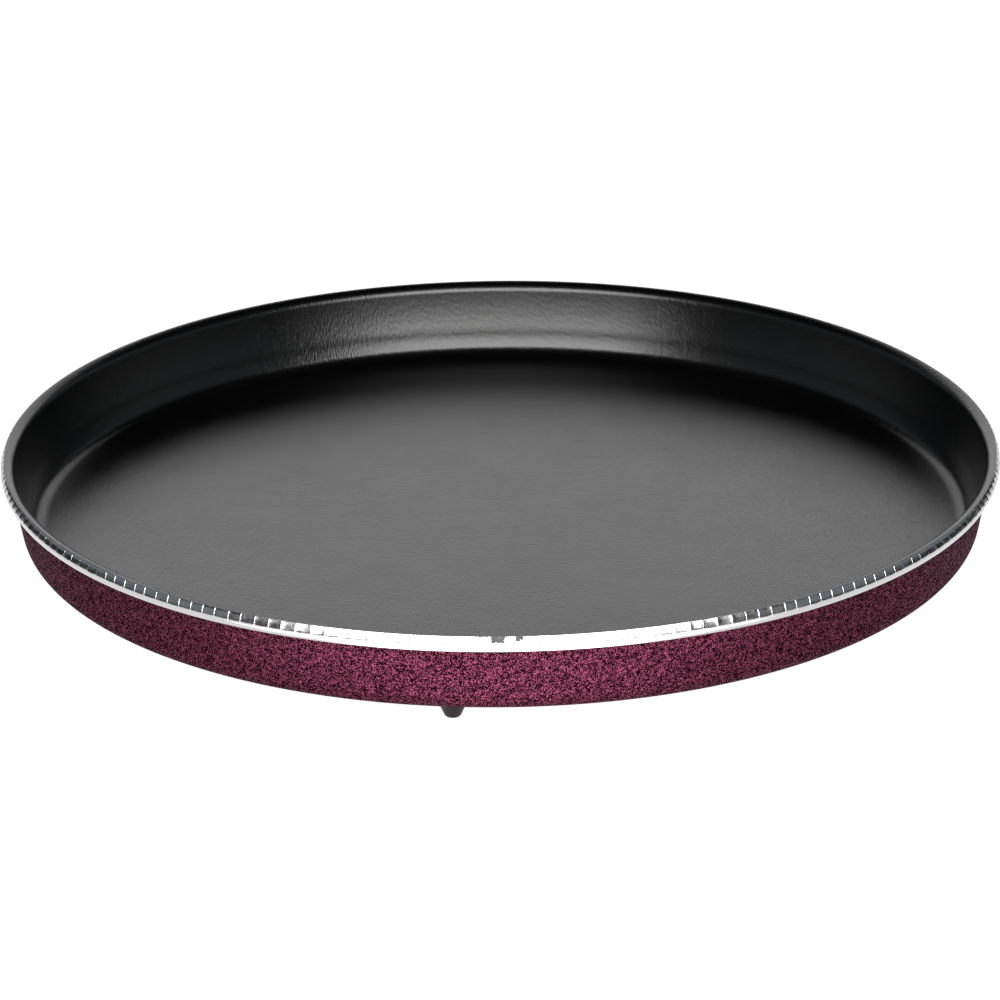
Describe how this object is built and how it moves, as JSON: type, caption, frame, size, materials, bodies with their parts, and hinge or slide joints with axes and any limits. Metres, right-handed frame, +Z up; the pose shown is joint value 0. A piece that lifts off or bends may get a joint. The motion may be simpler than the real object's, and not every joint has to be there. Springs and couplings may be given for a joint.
{
  "type": "microwave browning plate",
  "caption": "Round shallow browning pan for a microwave oven, with a non-stick floor, a speckled outside, a bare metal rim and small feet.",
  "frame": {"origin": "on the surface that the feet stand on, under the centre of the pan", "axes": "+Z up out of the open pan along its axis; -Y is the front, where the first foot is"},
  "size_m": [0.3198, 0.3198, 0.0349],
  "materials": {
    "bare_aluminium": "bright rolled edge",
    "black_nonstick": "satin",
    "maroon_speckle": "satin speckled",
    "ferrite_rubber": "matte",
    "foot_silicone": "satin"
  },
  "bodies": {
    "root": {"pan_shell": "bare_aluminium", "nonstick_lining": "black_nonstick", "outer_enamel": "maroon_speckle", "susceptor_mat": "ferrite_rubber", "foot_1": "foot_silicone", "foot_2": "foot_silicone", "foot_3": "foot_silicone"}
  },
  "joints": []
}
